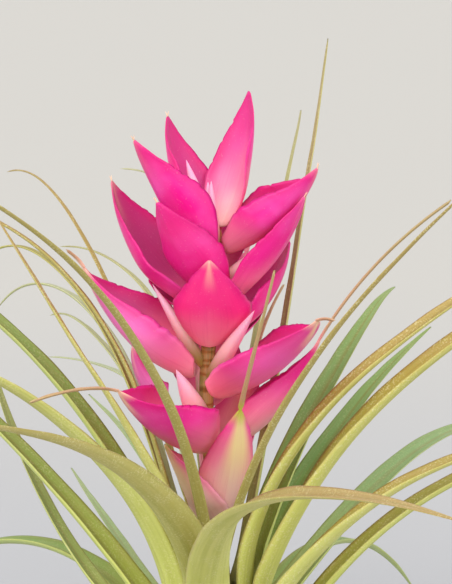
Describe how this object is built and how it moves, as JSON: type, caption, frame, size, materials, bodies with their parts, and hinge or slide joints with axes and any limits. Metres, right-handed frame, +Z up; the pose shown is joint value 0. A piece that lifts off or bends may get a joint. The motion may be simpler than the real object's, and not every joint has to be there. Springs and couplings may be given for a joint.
{
  "type": "air plant",
  "caption": "Rosette air plant with channelled arching leaves on a short stem and an upright spike of boat-shaped pink bracts with pale buds; rests loose on a surface.",
  "frame": {"origin": "centre of the stem's flat foot, on the surface the plant rests on", "axes": "+Z up along the flower stalk, -Y towards the side with the lowest front bract and +X to its right"},
  "size_m": [0.1919, 0.2095, 0.1191],
  "materials": {
    "leaf": "matte scurfy grey-green leaf, browner towards its tip",
    "bract": "satin bright pink bract, paler at its foot",
    "scape_bract": "satin cream-pink bract with a yellow-green midrib",
    "stalk": "smooth olive-brown flower stalk with pale pink buds",
    "stem": "matte brown stem"
  },
  "bodies": {
    "root": {"stem": "stem", "flower_stalk": "stalk", "leaf_01": "leaf", "leaf_02": "leaf", "leaf_03": "leaf", "leaf_04": "leaf", "leaf_05": "leaf", "leaf_06": "leaf", "leaf_07": "leaf", "leaf_08": "leaf", "leaf_09": "leaf", "leaf_10": "leaf", "leaf_11": "leaf", "leaf_12": "leaf", "leaf_13": "leaf", "leaf_14": "leaf", "leaf_15": "leaf", "leaf_16": "leaf", "leaf_17": "leaf", "leaf_18": "leaf", "leaf_19": "leaf", "leaf_20": "leaf", "leaf_21": "leaf", "leaf_22": "leaf", "leaf_23": "leaf", "leaf_24": "leaf", "leaf_25": "leaf", "leaf_26": "leaf", "leaf_27": "leaf", "leaf_28": "leaf", "leaf_29": "leaf", "leaf_30": "leaf", "leaf_31": "leaf", "leaf_32": "leaf", "leaf_33": "leaf", "leaf_34": "leaf", "leaf_35": "leaf", "leaf_36": "leaf", "leaf_37": "leaf", "bract_01": "scape_bract", "bract_02": "scape_bract", "bract_03": "scape_bract", "bract_04": "bract", "bract_05": "bract", "bract_06": "bract", "bract_07": "bract", "bract_08": "bract", "bract_09": "bract", "bract_10": "bract", "bract_11": "bract", "bract_12": "bract", "bract_13": "bract", "bract_14": "bract", "bract_15": "bract", "bract_16": "bract", "bract_17": "bract", "bract_18": "bract", "bract_19": "bract", "bract_20": "bract", "bract_21": "bract"}
  },
  "joints": []
}
